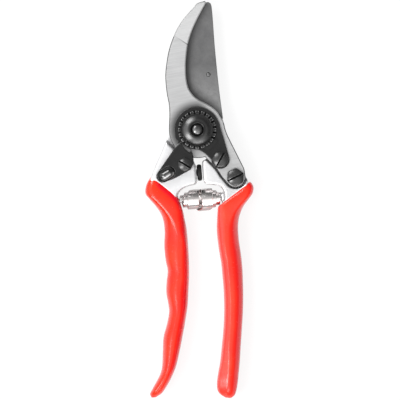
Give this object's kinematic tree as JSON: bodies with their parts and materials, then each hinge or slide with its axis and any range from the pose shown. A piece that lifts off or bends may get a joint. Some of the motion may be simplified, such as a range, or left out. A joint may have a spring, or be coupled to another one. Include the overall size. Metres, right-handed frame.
{
  "type": "bypass pruner",
  "caption": "Hand pruner with a curved hook blade and a cutting blade that pass each other on one pivot, sprung handles with moulded grips and a thumb latch.",
  "frame": {"origin": "on the pivot axis, at the flat back of the pivot bolt's head", "axes": "+Y runs from the pivot to the blade tips, +Z along the pivot axis from the bolt head to the adjusting nut, +X towards the hook blade's handle"},
  "size_m": [0.0594, 0.217, 0.021],
  "materials": {
    "forged_alloy": "bright satin, forged and tumbled",
    "red_grip": "smooth glossy dipped vinyl",
    "blade_steel": "dark grey, fine ground",
    "ground_steel": "bright, ground across",
    "bearing_bronze": "plain turned",
    "black_rubber": "matt moulded",
    "spring_steel": "bright rolled strip",
    "black_steel": "semi-gloss black"
  },
  "bodies": {
    "blade_handle": {"blade_handle_forging": "forged_alloy", "blade_handle_grip": "red_grip", "cutting_blade": "blade_steel", "pivot_bush": "bearing_bronze", "rubber_buffer": "black_rubber", "latch_spring_washer": "spring_steel", "latch_screw": "black_steel", "return_spring": "spring_steel", "blade_rivet_1": "ground_steel", "blade_rivet_2": "ground_steel"},
    "hook_handle": {"hook_handle_forging": "forged_alloy", "hook_handle_grip": "red_grip", "hook_blade": "ground_steel", "pivot_bolt": "ground_steel", "adjusting_nut": "black_steel", "nut_lock_plate": "black_steel", "nut_lock_screw": "black_steel", "hook_screw": "black_steel", "hook_screw_nut": "black_steel"},
    "latch": {"thumb_latch": "black_steel"}
  },
  "joints": [
    {"name": "main_pivot", "type": "hinge", "parent": "blade_handle", "child": "hook_handle", "pos_m": [0, 0, 0.008], "axis": [0, 0, 1], "range_deg": [0, 32], "stiffness_Nm_per_rad": 2.7, "springref_deg": 42.69, "deforming": ["return_spring"]},
    {"name": "latch_swing", "type": "hinge", "parent": "blade_handle", "child": "latch", "pos_m": [-0.00672, -0.019, 0.0173], "axis": [0, 0, 1], "range_deg": [0, 28]}
  ]
}
